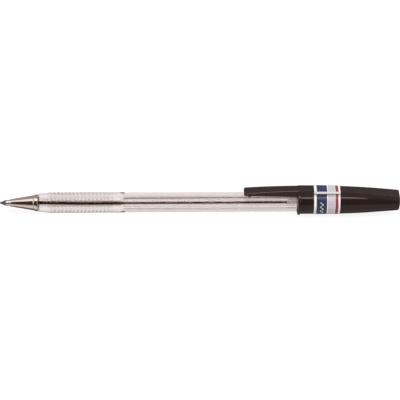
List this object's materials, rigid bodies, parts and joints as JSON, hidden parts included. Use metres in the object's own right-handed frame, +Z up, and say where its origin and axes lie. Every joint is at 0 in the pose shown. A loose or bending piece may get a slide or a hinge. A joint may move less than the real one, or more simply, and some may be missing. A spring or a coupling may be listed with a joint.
{
  "type": "stick ballpoint pen",
  "caption": "Stick ballpoint pen with a clear barrel, ringed grip turning to a hexagon, screwed metal nose cone, visible ink refill and a black clip cap posted on the tail.",
  "frame": {"origin": "under the middle of the pen's length, at the height of the cap flange's lowest point", "axes": "+X along the pen from the writing ball to the cap's end, +Z up to the clip, +Y across"},
  "size_m": [0.16, 0.0108, 0.0123],
  "materials": {
    "clear_plastic": "clear moulded polystyrene, polished",
    "milky_plastic": "translucent moulded plastic",
    "plated_metal": "nickel-plated brass, polished",
    "point_metal": "turned nickel silver",
    "ball_metal": "lapped hard metal",
    "tube_plastic": "extruded translucent plastic",
    "ink": "black oil ink, wet",
    "black_plastic": "moulded black plastic, soft gloss",
    "label_film": "printed film with plain stripes"
  },
  "bodies": {
    "barrel": {"barrel": "clear_plastic", "tail_plug": "milky_plastic"},
    "refill": {"point_socket": "point_metal", "refill_tube": "tube_plastic", "ink_column": "ink"},
    "cone": {"nose_cone": "plated_metal"},
    "ball": {"writing_ball": "ball_metal"},
    "cap": {"cap": "black_plastic", "cap_label": "label_film"}
  },
  "joints": [
    {"name": "cap_pull", "type": "slide", "parent": "barrel", "child": "cap", "axis": [1, 0, 0], "range_m": [0, 0.045]},
    {"name": "refill_draw", "type": "slide", "parent": "barrel", "child": "refill", "axis": [-1, 0, 0], "range_m": [0, 0.00375]},
    {"name": "cone_unscrew", "type": "hinge", "parent": "refill", "child": "cone", "pos_m": [-0.07, 0, 0.00536], "axis": [-1, 0, 0], "range_deg": [0, 1800]},
    {"name": "ball_roll", "type": "hinge", "parent": "refill", "child": "ball", "pos_m": [-0.07965, 0, 0.00536], "axis": [0, 1, 0], "continuous": true}
  ],
  "couplings": [
    {"joint": "cone_unscrew", "follows": "refill_draw", "rad_per_m": 8377.6}
  ]
}
